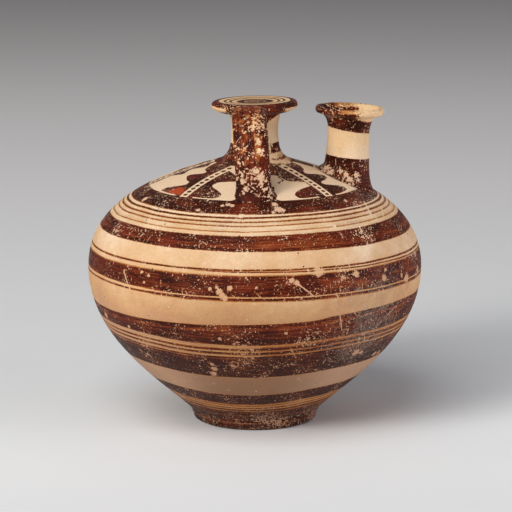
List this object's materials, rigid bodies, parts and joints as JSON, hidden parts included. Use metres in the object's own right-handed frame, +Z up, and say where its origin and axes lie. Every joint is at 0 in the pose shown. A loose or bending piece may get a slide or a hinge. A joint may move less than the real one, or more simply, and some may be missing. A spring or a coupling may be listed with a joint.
{
  "type": "stirrup jar",
  "caption": "Squat globular oil jar with a disc-topped false neck, an upright spout beside it and strap handles from the disc to the shoulder.",
  "frame": {"origin": "centre of the foot's resting face, on the jar's axis", "axes": "+Z up along the jar's axis, +X from the false neck towards the spout, -Y towards the front handle"},
  "size_m": [0.16, 0.16, 0.1542],
  "materials": {
    "buff_clay": "smooth buff slip, slightly polished, with fine pits",
    "painted_clay": "dark brown slip paint, brushed on, worn and flaked"
  },
  "bodies": {
    "root": {"foot_ring": "painted_clay", "lower_body": "buff_clay", "shoulder": "buff_clay", "false_neck": "buff_clay", "neck_coil": "painted_clay", "top_disc": "painted_clay", "spout": "buff_clay", "spout_coil": "painted_clay", "handle_front": "painted_clay", "handle_front_coil": "painted_clay", "handle_back": "painted_clay", "handle_back_coil": "painted_clay"}
  },
  "joints": []
}
